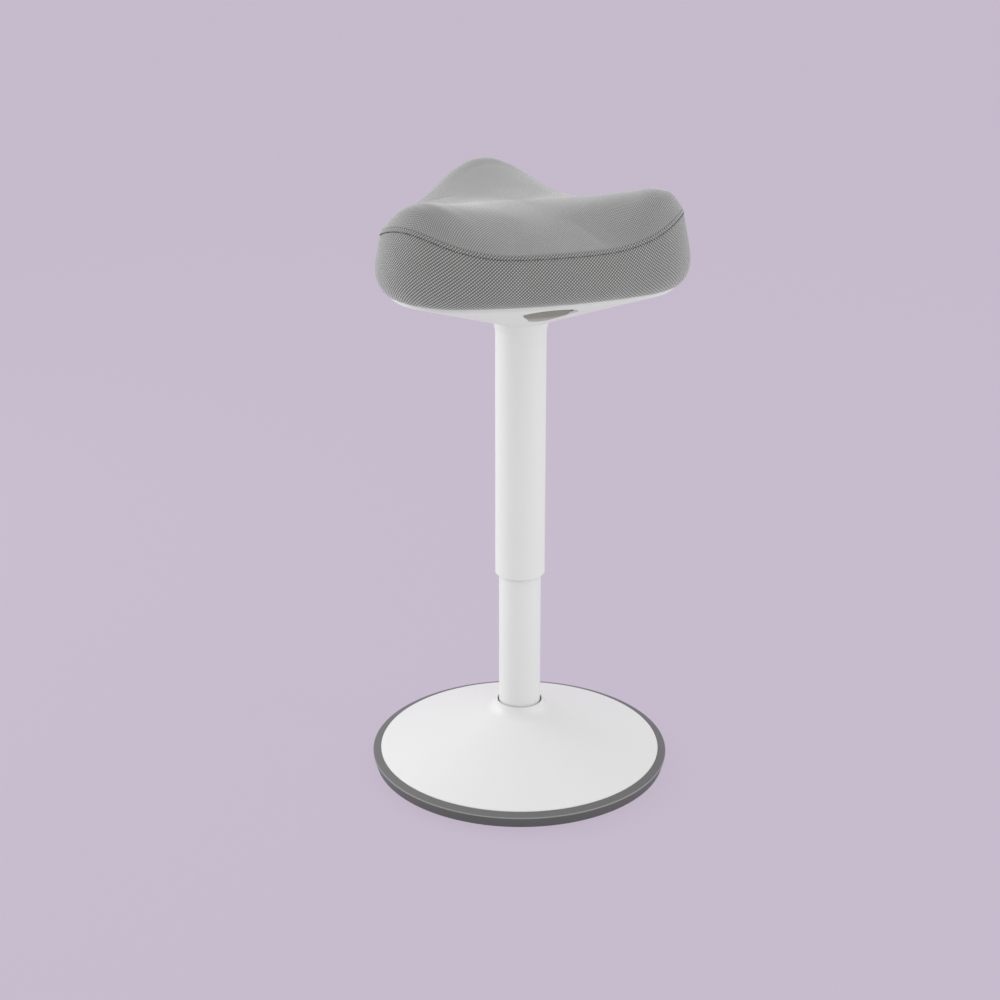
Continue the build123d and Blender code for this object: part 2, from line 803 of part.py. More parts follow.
# Upholstery: moulded foam, and a sewn cover of a top panel and a side band
with BuildPart() as seat_foam:
    add(cushion_form(cover_thickness + soft_gap))
    with BuildSketch(Plane.XY.offset(cushion_bottom)):
        with BuildLine():
            outline_arcs(pan_inset - soft_gap)
        make_face()
    extrude(amount=pan_thickness, mode=Mode.SUBTRACT)
write(seat_foam, "seat_foam")

with BuildPart() as cover_top:
    add(cover_form())
    add(seam_form(), mode=Mode.SUBTRACT)
write(cover_top, "cover_top")

with BuildPart() as cover_band:
    add(cover_form())
    add(seam_form(), mode=Mode.INTERSECT)
write(cover_band, "cover_band")


def funnel(lift):
    """Solid of the underside shell's slope, from the neck to the rim, raised by lift."""
    with BuildPart() as slope_form:
        with BuildSketch(Plane.XY.offset(neck_top + lift)):
            with BuildLine():
                round_arcs(neck_radius)
            make_face()
        with BuildSketch(Plane.XY.offset(shell_rim_bottom + lift)):
            with BuildLine():
                outline_arcs(shell_rim_inset)
            make_face()
        loft(ruled=True)
    return slope_form.part


def paddle_outline():
    """Draws the paddle's plan: a round outer edge, two tips, and sides that narrow inward."""
    tip = Vector(paddle_width / 2, -paddle_tip_reach)
    neck = Vector(paddle_neck_width / 2, -paddle_neck_reach)
    far_tip = Vector(-tip.X, tip.Y)
    far_neck = Vector(-neck.X, neck.Y)
    ThreePointArc(tip, (0.0, -paddle_reach), far_tip)
    Line(far_tip, far_neck)
    ThreePointArc(far_neck, (0.0, -paddle_inner_reach), neck)
    Line(neck, tip)


# Underside shell: neck, funnel and rim, with screw bosses and the paddle's opening
boss_bottom = cushion_bottom - shell_boss_floor
with BuildPart() as shell_hollow:
    add(funnel(shell_wall))
    with BuildSketch(Plane.XY.offset(shell_rim_bottom + shell_wall)):
        with BuildLine():
            outline_arcs(shell_rim_inset)
        make_face()
    extrude(amount=shell_rim_height)
    with BuildSketch(Plane.XY.offset(neck_bottom)):
        with BuildLine():
            outline_arcs(shell_rim_inset + shell_rim_wall)
        make_face()
    extrude(amount=cushion_bottom - neck_bottom, mode=Mode.INTERSECT)
    drilled(shell_boss_diameter / 2, neck_bottom, cushion_bottom, shell_screw_places)

with BuildPart() as seat_shell:
    add(funnel(0.0))
    with BuildSketch(Plane.XY.offset(shell_rim_bottom)):
        with BuildLine():
            outline_arcs(shell_rim_inset)
        make_face()
    extrude(amount=shell_rim_height)
    neck_foot = neck_radius - neck_bevel
    turned((0.0, neck_bottom), (neck_foot, neck_bottom), (neck_radius, neck_top), (0.0, neck_top))
    add(shell_hollow.part, mode=Mode.SUBTRACT)
    drilled(sleeve_radius + press_gap, neck_bottom, sleeve_top, Locations((0.0, 0.0)))
    drilled(neck_passage / 2, neck_bottom, neck_top + shell_wall, Locations((0.0, 0.0)))
    drilled(shell_boss_bore / 2, neck_bottom, boss_bottom, shell_screw_places)
    drilled(shell_screw_diameter / 2 + press_gap, neck_bottom, cushion_bottom, shell_screw_places)
    with BuildSketch(Plane.XY.offset(neck_bottom)):
        with BuildLine():
            paddle_outline()
        make_face()
        offset(amount=paddle_gap)
    extrude(amount=cushion_bottom - neck_bottom, mode=Mode.SUBTRACT)
write(seat_shell, "seat_shell")

with BuildPart() as shell_screws:
    screw_head_bottom = boss_bottom - shell_screw_head_depth
    studs(shell_screw_head / 2, screw_head_bottom, boss_bottom, shell_screw_places)
    studs(shell_screw_diameter / 2, boss_bottom, shell_screw_top, shell_screw_places)
write(shell_screws, "shell_screws")

# Release lever: pin, clips, pressed arm and the paddle set flush in the shell
pin_half = bracket_width / 2 + pin_stub
with BuildPart() as lever_pin:
    with BuildSketch(Plane.YZ):
        with Locations((-lever_pivot_reach, pivot_height)):
            Circle(lever_pin_diameter / 2)
    extrude(amount=pin_half, both=True)
write(lever_pin, "lever_pin")

with BuildPart() as pin_clips:
    with BuildSketch(Plane.YZ.offset(bracket_width / 2 + press_gap)):
        with Locations((-lever_pivot_reach, pivot_height)):
            Circle(pin_clip_diameter / 2)
            Circle(pin_hole, mode=Mode.SUBTRACT)
        with Locations((-lever_pivot_reach, pivot_height - pin_clip_diameter / 2)):
            Rectangle(lever_pin_diameter / 2, pin_clip_diameter, mode=Mode.SUBTRACT)
    extrude(amount=pin_clip_thickness)
    mirror(about=Plane.YZ)
write(pin_clips, "pin_clips")

paddle_screw_places = Locations((0.0, -(paddle_seat_start + lever_end) / 2))
with BuildPart() as lever_arm:
    with BuildSketch(Plane.XY.offset(lever_bottom)):
        with Locations((0.0, (lever_tip - lever_end) / 2)):
            RectangleRounded(lever_width, lever_tip + lever_end, lever_corner_round)
    extrude(amount=lever_gauge)
    with BuildSketch(Plane.YZ):
        with Locations((-lever_pivot_reach, pivot_height)):
            Circle(lever_barrel_diameter / 2)
    extrude(amount=wall_inner - lever_barrel_play, both=True)
    with BuildSketch(Plane.YZ):
        with Locations((-lever_pivot_reach, pivot_height)):
            Circle(lever_pin_diameter / 2 + running_gap)
    extrude(amount=wall_inner, both=True, mode=Mode.SUBTRACT)
    drilled(paddle_screw_diameter / 2 + press_gap, lever_bottom, lever_top, paddle_screw_places)
write(lever_arm, "lever_arm")

# Hollow behind the paddle's face, less the block that takes the arm
with BuildPart() as paddle_hollow:
    add(funnel(paddle_wall))
    with BuildSketch(Plane.XY.offset(neck_bottom)):
        with Locations((0.0, -(paddle_seat_start + lever_end) / 2)):
            Rectangle(lever_width, lever_end - paddle_seat_start)
    extrude(amount=lever_bottom - neck_bottom, mode=Mode.SUBTRACT)

paddle_top = cushion_bottom - paddle_headroom
with BuildPart() as release_paddle:
    add(funnel(0.0))
    with BuildSketch(Plane.XY.offset(neck_bottom)):
        with BuildLine():
            paddle_outline()
        make_face()
    extrude(amount=paddle_top - neck_bottom, mode=Mode.INTERSECT)
    add(paddle_hollow.part, mode=Mode.SUBTRACT)
    with BuildSketch(Plane.YZ):
        with BuildLine():
            lip_reach = paddle_crease_reach - paddle_lip_run
            Polyline(
                (-paddle_crease_reach, shell_height(paddle_crease_reach) + paddle_crease_depth),
                (-paddle_reach, shell_height(paddle_reach) + paddle_edge_depth),
                (-paddle_reach, neck_bottom),
                (-lip_reach, neck_bottom),
                (-lip_reach, shell_height(lip_reach)),
                close=True,
            )
        make_face()
    extrude(amount=paddle_width / 2, both=True, mode=Mode.SUBTRACT)
    screw_seat = lever_bottom - paddle_screw_bite
    drilled(paddle_screw_diameter / 2 + press_gap, screw_seat, lever_bottom, paddle_screw_places)
write(release_paddle, "release_paddle")

with BuildPart() as paddle_screws:
    studs(paddle_screw_diameter / 2, screw_seat, lever_top, paddle_screw_places)
    screw_top = lever_top + paddle_screw_head_depth
    studs(paddle_screw_head / 2, lever_top, screw_top, paddle_screw_places)
write(paddle_screws, "paddle_screws")
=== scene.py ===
import json
from math import atan2, cos, degrees, pi, radians, sin, sqrt

import bpy
import numpy as np
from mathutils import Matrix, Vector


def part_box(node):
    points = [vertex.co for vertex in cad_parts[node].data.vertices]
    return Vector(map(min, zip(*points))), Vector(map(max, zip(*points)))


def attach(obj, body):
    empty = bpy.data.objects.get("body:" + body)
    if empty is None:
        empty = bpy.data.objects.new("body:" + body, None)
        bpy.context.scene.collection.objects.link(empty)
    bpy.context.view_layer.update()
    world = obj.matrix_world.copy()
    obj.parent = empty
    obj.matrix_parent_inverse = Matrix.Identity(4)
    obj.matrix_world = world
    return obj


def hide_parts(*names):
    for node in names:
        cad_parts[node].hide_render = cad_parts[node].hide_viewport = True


# Three-cornered saddle stool. Metres, Z up, the column on the Z axis, the paddle faces -Y.
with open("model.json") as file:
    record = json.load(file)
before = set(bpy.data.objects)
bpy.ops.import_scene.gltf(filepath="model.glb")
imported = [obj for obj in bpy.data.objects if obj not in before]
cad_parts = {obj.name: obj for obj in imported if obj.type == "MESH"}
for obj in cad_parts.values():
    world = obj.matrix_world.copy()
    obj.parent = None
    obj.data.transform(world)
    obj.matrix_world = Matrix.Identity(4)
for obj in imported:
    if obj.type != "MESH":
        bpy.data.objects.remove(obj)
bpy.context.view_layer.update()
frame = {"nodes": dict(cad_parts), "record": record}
nodes = frame["nodes"]
tiny = 1e-9  # the least length that anything is divided by
print("frame loaded:", len(nodes), "nodes")


# Node and mesh helpers

def newFinish(name):
    finish = bpy.data.materials.new(name)
    finish.use_nodes = True
    tree = finish.node_tree
    tree.nodes.clear()
    output = tree.nodes.new("ShaderNodeOutputMaterial")
    shader = tree.nodes.new("ShaderNodeBsdfPrincipled")
    tree.links.new(shader.outputs["BSDF"], output.inputs["Surface"])
    return finish, tree, shader


def feed(tree, value, socket):  # a socket is linked, a number or a colour is set
    if isinstance(value, bpy.types.NodeSocket):
        tree.links.new(value, socket)
    else:
        socket.default_value = value


def calc(tree, operation, first, second=0.0):
    node = tree.nodes.new("ShaderNodeMath")
    node.operation = operation
    feed(tree, first, node.inputs[0])
    feed(tree, second, node.inputs[1])
    return node.outputs[0]


def noise(tree, where, scale, detail=2.0, roughness=0.5):
    node = tree.nodes.new("ShaderNodeTexNoise")
    tree.links.new(where, node.inputs["Vector"])
    node.inputs["Scale"].default_value = scale
    node.inputs["Detail"].default_value = detail
    node.inputs["Roughness"].default_value = roughness
    return node.outputs["Fac"]


def fineGrain(tree, where, scale):  # the grain of paint and of moulded surfaces
    return noise(tree, where, scale, 2.0, 0.55)


def ramp(tree, value, low, high, fromLow=0.0, fromHigh=1.0):  # number from one range to another
    node = tree.nodes.new("ShaderNodeMapRange")
    feed(tree, value, node.inputs["Value"])
    node.inputs["From Min"].default_value = fromLow
    node.inputs["From Max"].default_value = fromHigh
    node.inputs["To Min"].default_value = low
    node.inputs["To Max"].default_value = high
    return node.outputs["Result"]


def mixColour(tree, share, first, second):
    node = tree.nodes.new("ShaderNodeMix")
    node.data_type = "RGBA"
    feed(tree, share, node.inputs["Factor"])
    feed(tree, first, node.inputs["A"])
    feed(tree, second, node.inputs["B"])
    return node.outputs["Result"]


def relief(tree, shader, height, distance):
    node = tree.nodes.new("ShaderNodeBump")
    tree.links.new(height, node.inputs["Height"])
    node.inputs["Distance"].default_value = distance
    node.inputs["Strength"].default_value = 1.0
    tree.links.new(node.outputs["Normal"], shader.inputs["Normal"])


def place(tree):  # object coordinates, which are metres of the frame
    return tree.nodes.new("ShaderNodeTexCoord").outputs["Object"]


def axisOf(tree, where, axis):  # one coordinate of a place
    node = tree.nodes.new("ShaderNodeSeparateXYZ")
    tree.links.new(where, node.inputs["Vector"])
    return node.outputs[axis]


def stretched(tree, where, scale):
    node = tree.nodes.new("ShaderNodeMapping")
    tree.links.new(where, node.inputs["Vector"])
    node.inputs["Scale"].default_value = scale
    return node.outputs["Vector"]


def grey(value, tint=(1.0, 1.0, 1.0)):
    return tuple(value * channel for channel in tint) + (1.0,)


def dimmed(colour, share):
    return tuple(channel * share for channel in colour[:3]) + (1.0,)


def meshPiece(name, points, faces, finishes, smooth=True):
    mesh = bpy.data.meshes.new(name)
    mesh.from_pydata(points, [], faces)
    for finish in finishes:
        mesh.materials.append(finish)
    mesh.polygons.foreach_set("use_smooth", np.full(len(mesh.polygons), smooth))
    mesh.update()
    piece = bpy.data.objects.new(name, mesh)
    bpy.context.scene.collection.objects.link(piece)
    return piece


def gridFaces(rows, columns):  # quads between rows of a ring, closed round the columns
    row = np.arange(rows - 1)[:, None] * columns
    here = np.arange(columns)[None, :]
    after = (here + 1) % columns
    quads = np.stack([row + here, row + after, row + columns + after, row + columns + here], -1)
    return quads.reshape(-1, 4)


def fanFaces(firstPoint, columns, pole):  # triangles from a ring to its pole
    here = np.arange(columns)
    after = (here + 1) % columns
    return np.stack([firstPoint + here, firstPoint + after, np.full(columns, pole)], -1)


def closedForm(points):
    # rings of points closed by a pole on the axis at either end: the quads come first, then the
    # fan of the first ring and the fan of the last
    rows, columns = points.shape[:2]
    firstPole = rows * columns
    poles = np.array([[0.0, 0.0, points[0, 0, 2]], [0.0, 0.0, points[-1, :, 2].mean()]])
    below = fanFaces(0, columns, firstPole)[:, ::-1]
    above = fanFaces(firstPole - columns, columns, firstPole + 1)
    faces = gridFaces(rows, columns).tolist() + below.tolist() + above.tolist()
    return np.vstack([points.reshape(-1, 3), poles]), faces


# Seat plan: a rounded triangle, with its corners at 90, 210 and 330 degrees
seatPlan = {
    "width": 0.345,  # from a corner to the side opposite it
    "cornerRadius": 0.094,
    "sideRadius": 0.430,
    "fineSteps": 7200,
}
# corner and side arcs touch smoothly, so their centres lie the difference of the radii apart; with
# the width given, that is a quadratic for the distance of the corner's centre from the middle
arcGap = seatPlan["sideRadius"] - seatPlan["cornerRadius"]
arcSum = seatPlan["sideRadius"] + seatPlan["cornerRadius"] - seatPlan["width"]
cornerCentre = (sqrt(12 * arcGap**2 - 3 * arcSum**2) - 3 * arcSum) / 6
sideCentre = cornerCentre + arcSum
sideSpan = degrees(atan2(cornerCentre * sqrt(3) / 2, cornerCentre / 2 + sideCentre))
cornerSpan = 60.0 - sideSpan


def rimPoint(turn, inset):
    # the outline's point whose outward normal has this angle: a corner arc within the
    # corner's span and a side arc elsewhere, both drawn in by the inset
    away = (turn - 30.0) % 120.0 - 60.0
    corner = turn - away
    onCorner = np.abs(away) <= cornerSpan
    aim = np.radians(np.where(onCorner, corner, corner + 60.0 * np.sign(away)))
    reach = np.where(onCorner, cornerCentre, -sideCentre)
    radius = np.where(onCorner, seatPlan["cornerRadius"], seatPlan["sideRadius"]) - inset
    angle = np.radians(turn)
    return reach * np.cos(aim) + radius * np.cos(angle), reach * np.sin(aim) + radius * np.sin(angle)


def evenTurns(count):
    # normal angles of points spaced evenly along the outline, from its length summed over fine steps
    fine = np.linspace(90.0, 450.0, seatPlan["fineSteps"] + 1)
    x, y = rimPoint(fine, 0.0)
    run = np.concatenate([[0.0], np.cumsum(np.hypot(np.diff(x), np.diff(y)))])
    return np.interp(np.arange(count) * run[-1] / count, run, fine), run[-1]


# Upholstery: heights are over the lower edge of the band
upholstery = {
    "rounds": 480,  # columns round the seat
    "sideRows": 76,
    "rollRows": 16,
    "topRows": 72,
    "crowding": 1.7,  # how closely the rows stand at the seam
    "rollInset": 0.0155,
    "rollHeight": 0.027,
    "drawIn": 0.21,  # slope of the side above the bend
    "drawFrom": 0.031,
    "drawBend": 0.010,
    "seamLow": 0.0585,  # over the middle of a side
    "seamHigh": 0.0834,  # over a corner
    "reaches": (0.0, 0.25, 0.5, 0.7, 0.85, 0.94, 1.0),  # shares of the way from the middle to the seam
    "sideLine": (0.0850, 0.0840, 0.0794, 0.0716, 0.0645, 0.0606, 0.0585),  # heights towards a side
    "cornerLine": (0.0850, 0.0872, 0.0938, 0.1006, 0.1046, 0.0980, 0.0834),  # and towards a corner
    "sharePower": (1.1, 1.15, 1.4, 1.8, 2.15, 2.45, 2.78),  # how closely the corners hold their height
    "grooveDepth": 0.0011,
    "grooveWidth": 0.0008,
    "shadeWidth": 0.00045,
    "stitchDrop": 0.0058,  # from the seam down to the topstitched line
    "stitchDepth": 0.0005,
    "stitchWidth": 0.0012,
    "turnUnder": 0.0046,
    "panRoom": 0.0003,
}
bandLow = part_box("cover_band")[0].z
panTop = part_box("seat_pan")[1].z


def cornerShare(x, y, power):
    # one over each corner and none at the middle of each side: a raised cosine of three times the angle
    angle = np.arctan2(y, x) - pi / 2
    return ((1.0 + np.cos(3.0 * angle)) / 2.0) ** power


def taper(height, form):
    # draw-in of the side: none under the bend, a steady slope above it, a hyperbola between
    rise = height - form["drawFrom"]
    return form["drawIn"] * (np.sqrt(rise**2 + form["drawBend"] ** 2) + rise) / 2.0


def smoothLine(knots, values, where):
    # a curve through the knots: cubic pieces, each knot's slope taken from its neighbours, level at the first
    knots, values = np.array(knots), np.array(values)
    slope = np.gradient(values, knots)
    slope[0] = 0.0
    piece = np.clip(np.searchsorted(knots, where, side="right") - 1, 0, len(knots) - 2)
    width = knots[piece + 1] - knots[piece]
    way = (where - knots[piece]) / width
    rest = 1.0 - way
    start = values[piece] * (1.0 + 2.0 * way) * rest**2 + slope[piece] * width * way * rest**2
    end = values[piece + 1] * (1.0 + 2.0 * rest) * way**2 - slope[piece + 1] * width * rest * way**2
    return start + end


def cushionRows(form, turns):
    # rows of points from the pocket for the pan, round the hem and the roll, up the side to the
    # seam, over the brow and on to the middle; the seam's row is told by its number
    x, y = rimPoint(turns, 0.0)
    share = cornerShare(x, y, form["sharePower"][-1])
    seam = form["seamLow"] + (form["seamHigh"] - form["seamLow"]) * share
    bend = np.linspace(0.0, 1.0, form["rollRows"])[:, None] * pi / 2
    rollHeight = form["rollHeight"] * (1.0 - np.cos(bend)) * np.ones_like(seam)
    rollInset = form["rollInset"] * (1.0 - np.sin(bend)) + taper(rollHeight, form)
    step = 1.0 - np.linspace(1.0, 0.0, form["sideRows"] + 1)[1:, None] ** form["crowding"]
    sideHeight = form["rollHeight"] + (seam - form["rollHeight"]) * step
    sideInset = taper(sideHeight, form)
    hemInset = np.full((2, len(turns)), form["rollInset"] + form["turnUnder"])
    hemInset[0] += form["panRoom"]
    hemHeight = np.zeros_like(hemInset)
    hemHeight[0] = panTop - bandLow + form["panRoom"]
    height = np.vstack([hemHeight, rollHeight, sideHeight])
    inset = np.vstack([hemInset, rollInset, sideInset])
    sideX, sideY = rimPoint(turns[None, :], inset)
    side = np.stack([sideX, sideY, bandLow + height], -1)

    reach = 1.0 - np.linspace(0.0, 1.0, form["topRows"] + 1)[1:-1, None] ** form["crowding"]
    low = smoothLine(form["reaches"], form["sideLine"], reach)
    high = smoothLine(form["reaches"], form["cornerLine"], reach)
    power = np.interp(reach, form["reaches"], form["sharePower"])
    level = low + (high - low) * cornerShare(x, y, power)
    top = np.stack([reach * sideX[-1], reach * sideY[-1], bandLow + level], -1)
    return np.concatenate([side, top]), len(side) - 1


def outward(points):
    # unit normals of a grid closed round its columns: the cross product of its two differences
    around = np.roll(points, -1, 1) - np.roll(points, 1, 1)
    along = np.gradient(points, axis=0)
    normal = np.cross(around, along)
    return normal / np.linalg.norm(normal, axis=-1, keepdims=True)


def runFrom(points, row):
    # length along each column, counted from one row, positive on towards the middle
    steps = np.linalg.norm(np.diff(points, axis=0), axis=-1)
    run = np.concatenate([np.zeros((1, points.shape[1])), np.cumsum(steps, 0)])
    return run - run[row]


turns, rimLength = evenTurns(upholstery["rounds"])
cushion, seamRow = cushionRows(upholstery, turns)
print("cushion grid:", cushion.shape, "seam row", seamRow)

# Cover under pressure: a cloth run on a coarse copy of the grid, which the foam fills out between its seams
cover = {
    "cell": 0.006,  # spacing of the coarse rows
    "everyColumn": 4,
    "frames": 20,
    "pressure": 4.0,
    "cap": 0.0018,  # the furthest that a point may move
    "overlap": 3,  # columns counted twice where the ring closes
}


def cubicShares(knots, where):
    # how much each knot counts at each place, for a smooth curve through the knots
    return np.stack([smoothLine(knots, single, where) for single in np.eye(len(knots))], -1)


def ringShares(coarse, fine):
    # the same round a closed ring of even columns, whose ends overlap
    knots = np.arange(-cover["overlap"], coarse + cover["overlap"])
    shares = cubicShares(knots, np.arange(fine) * coarse / fine)
    ring = np.zeros((fine, coarse))
    np.add.at(ring, (slice(None), knots % coarse), shares)
    return ring


def blowOut(points, heldRows, form):
    # how far each point of a coarse closed cover moves under pressure, with some rows and the
    # pocket's pole held; the trial piece is taken away again
    rows, columns = points.shape[:2]
    everyPoint, faces = closedForm(points)
    trial = meshPiece("coverTrial", everyPoint, faces, [])
    heldPoints = np.append(np.flatnonzero(np.repeat(heldRows, columns)), rows * columns)
    trial.vertex_groups.new(name="held").add(heldPoints.tolist(), 1.0, "REPLACE")
    cloth = trial.modifiers.new("cover", "CLOTH")
    cloth.settings.vertex_group_mass = "held"
    cloth.settings.use_pressure = True
    cloth.settings.uniform_pressure_force = form["pressure"]
    cloth.settings.effector_weights.gravity = 0.0
    cloth.point_cache.frame_start = 1
    cloth.point_cache.frame_end = form["frames"]
    scene = bpy.context.scene
    for frameNumber in range(1, form["frames"] + 1):
        scene.frame_set(frameNumber)
    settled = trial.evaluated_get(bpy.context.evaluated_depsgraph_get())
    flat = np.empty(len(everyPoint) * 3)
    settled.data.vertices.foreach_get("co", flat)
    sheet = trial.data
    bpy.data.objects.remove(trial)
    bpy.data.meshes.remove(sheet)
    scene.frame_set(1)
    return (flat.reshape(-1, 3) - everyPoint)[:rows * columns].reshape(points.shape)


def fillOut(points, seamRow, form):
    # held at the pocket, the hem and the seam, the coarse cover is blown out and settles; its moves are
    # eased off towards the cap and carried over to the full grid
    rows, columns = points.shape[:2]
    mean = runFrom(points, seamRow).mean(1)
    wanted = np.arange(mean[0], mean[-1], form["cell"])
    nearest = np.abs(mean[None, :] - wanted[:, None]).argmin(1)
    keptRows = np.unique(np.concatenate([[0, 1, seamRow, rows - 1], nearest]))
    coarse = points[keptRows][:, ::form["everyColumn"]]
    moved = blowOut(coarse, np.isin(keptRows, [0, 1, seamRow]), form)
    length = np.linalg.norm(moved, axis=-1, keepdims=True)
    print(f"cover moved, mm: middle {np.median(length) * 1000:.2f} most {length.max() * 1000:.2f}")
    eased = moved * form["cap"] * np.tanh(length / form["cap"]) / np.maximum(length, tiny)
    alongRows = cubicShares(mean[keptRows], mean)
    return points + np.einsum("rk,kcx,dc->rdx", alongRows, eased, ringShares(coarse.shape[1], columns))


cushion = fillOut(cushion, seamRow, cover)

# Sewing draws the cover in at the seam and along the topstitched line under it
run = runFrom(cushion, seamRow)
drawn = upholstery["grooveDepth"] * np.exp(-((run / upholstery["grooveWidth"]) ** 2))
line = (run + upholstery["stitchDrop"]) / upholstery["stitchWidth"]
drawn = drawn + upholstery["stitchDepth"] * np.exp(-(line**2))
# painted shade: how far the seam's groove darkens the fabric's colour
sewnShade = np.exp(-((run / upholstery["shadeWidth"]) ** 2))
cushion = cushion - outward(cushion) * drawn[..., None]


# Finishes
weave = {
    "repeat": 0.0037,
    "topRepeat": 0.0030,
    "band": (0.12, 0.66, 0.20),  # the pits' and the ribs' lightness, and the height of a buried rib
    "top": (0.20, 0.58, 0.12),
    # the grey painted as shade into the seam's valley
    "seam": 0.13,
    "tint": (0.985, 1.0, 0.985),
    "depth": 0.0006,
    "topDepthShare": 0.6,
    "fuzzScale": 2600.0,
    "fuzzShade": (0.7, 1.25),
    "patchScale": 14.0,
    "patchShade": (-0.05, 0.05),
    "roughness": 0.92,
    "specular": 0.2,
    "sheen": 1.0,
    "sheenRoughness": 0.35,
}


def rib(tree, phase):  # from none to one and back over each repeat: a raised cosine
    turn = calc(tree, "MULTIPLY", phase, 2 * pi)
    return ramp(tree, calc(tree, "COSINE", turn), 0, 1, -1, 1)


def wovenFabric(name, dark, light, buried, depth):
    # two sets of diagonal yarns on the piece's own map: the rising set runs on, the falling set shows
    # between its ribs, and the pits where both are low stay dark; the seam's valley gets painted shade
    finish, tree, shader = newFinish(name)
    chart = tree.nodes.new("ShaderNodeUVMap")
    chart.uv_map = "weave"
    across = axisOf(tree, chart.outputs["UV"], "X")
    along = axisOf(tree, chart.outputs["UV"], "Y")
    risingRib = rib(tree, calc(tree, "SUBTRACT", across, along))
    fallingRib = rib(tree, calc(tree, "ADD", across, along))
    height = calc(tree, "MULTIPLY", risingRib, ramp(tree, fallingRib, buried, 1.0))
    fuzz = noise(tree, place(tree), weave["fuzzScale"], 3.0, 0.6)
    shade = calc(tree, "MULTIPLY", height, ramp(tree, fuzz, *weave["fuzzShade"]))
    patch = ramp(tree, noise(tree, place(tree), weave["patchScale"]), *weave["patchShade"])
    tone = calc(tree, "ADD", shade, patch)
    colour = mixColour(tree, tone, grey(dark, weave["tint"]), grey(light, weave["tint"]))
    # painted shade: the seam's valley is mixed towards a dark grey
    seamPaintedShade = tree.nodes.new("ShaderNodeAttribute")
    seamPaintedShade.attribute_name = "seamPaintedShade"
    colour = mixColour(tree, seamPaintedShade.outputs["Fac"], colour, grey(weave["seam"]))
    tree.links.new(colour, shader.inputs["Base Color"])
    shader.inputs["Roughness"].default_value = weave["roughness"]
    shader.inputs["Specular IOR Level"].default_value = weave["specular"]
    shader.inputs["Sheen Weight"].default_value = weave["sheen"]
    shader.inputs["Sheen Roughness"].default_value = weave["sheenRoughness"]
    shader.inputs["Sheen Tint"].default_value = (1.0, 1.0, 1.0, 1.0)
    relief(tree, shader, height, depth)
    return finish


threadTone = {
    "dark": 0.012,
    "light": 0.035,
    "strandScale": 5000.0,
    "roughness": 0.7,
    "depth": 0.0001,
}


def sewingThread(form):
    finish, tree, shader = newFinish("sewingThread")
    strand = noise(tree, place(tree), form["strandScale"])
    colour = mixColour(tree, strand, grey(form["dark"]), grey(form["light"]))
    tree.links.new(colour, shader.inputs["Base Color"])
    shader.inputs["Roughness"].default_value = form["roughness"]
    relief(tree, shader, strand, form["depth"])
    return finish


coat = {
    "slowScale": 9.0,
    "slowGloss": 0.05,  # how far the slow and the fine changes move the roughness either way
    "fineGloss": 0.04,
}


def coated(name, colour, roughness, grain, depth, mottle):
    # a painted or moulded surface: fine grain in relief, and slow changes in tone and gloss
    finish, tree, shader = newFinish(name)
    where = place(tree)
    slow = noise(tree, where, coat["slowScale"], 3.0)
    tone = mixColour(tree, slow, dimmed(colour, 1.0 - mottle), colour)
    tree.links.new(tone, shader.inputs["Base Color"])
    fine = fineGrain(tree, where, grain)
    slowGloss = ramp(tree, slow, -coat["slowGloss"], coat["slowGloss"])
    fineGloss = ramp(tree, fine, roughness - coat["fineGloss"], roughness + coat["fineGloss"])
    tree.links.new(calc(tree, "ADD", slowGloss, fineGloss), shader.inputs["Roughness"])
    relief(tree, shader, fine, depth)
    return finish


paddleTone = {
    "scoopPaintedShade": (0.280, 0.270, 0.238, 1.0),
    "lip": (0.425, 0.408, 0.356, 1.0),
    "change": (-0.086, -0.080),  # from the scoop's painted shade to the lip's own tone, along Y
    "mottleScale": 40.0,
    "mottle": (-0.12, 0.12),
    "grain": 2600.0,
    "roughness": (0.5, 0.6),
    "depth": 0.00006,
}


def paddlePlastic(form):
    # moulded plastic with fine grain, and painted shade that darkens the finger scoop against the lip behind
    # it
    finish, tree, shader = newFinish("paddlePlastic")
    where = place(tree)
    # painted shade: darker on the scoop's side, fading to the lip's tone along Y
    pastScoopShade = ramp(tree, axisOf(tree, where, "Y"), 0.0, 1.0, *form["change"])
    mottle = ramp(tree, noise(tree, where, form["mottleScale"], 3.0), *form["mottle"])
    colour = mixColour(tree, calc(tree, "ADD", pastScoopShade, mottle), form["scoopPaintedShade"], form["lip"])
    tree.links.new(colour, shader.inputs["Base Color"])
    fine = fineGrain(tree, where, form["grain"])
    tree.links.new(ramp(tree, fine, *form["roughness"]), shader.inputs["Roughness"])
    relief(tree, shader, fine, form["depth"])
    return finish


bumperTone = {
    # the lower face's tone is painted shade, the lightest tone a painted highlight along the edge
    "under": grey(0.105),
    "top": grey(0.150, (0.99, 1.0, 0.985)),
    "edgePaintedHighlight": grey(0.42),
    "change": (0.0185, 0.0220),  # from the painted shade on the lower face to the lighter top's tone, in height
    "edge": 0.0208,  # height of the painted highlight line along the edge, and the distances from it over which it fades
    "edgeFade": (0.0002, 0.0010),
    "edgeShare": 0.75,
    "grimeScale": 30.0,
    "grime": (-0.15, 0.15),
    "grain": 1800.0,
    "roughness": (0.42, 0.52),
    "depth": 0.00006,
}


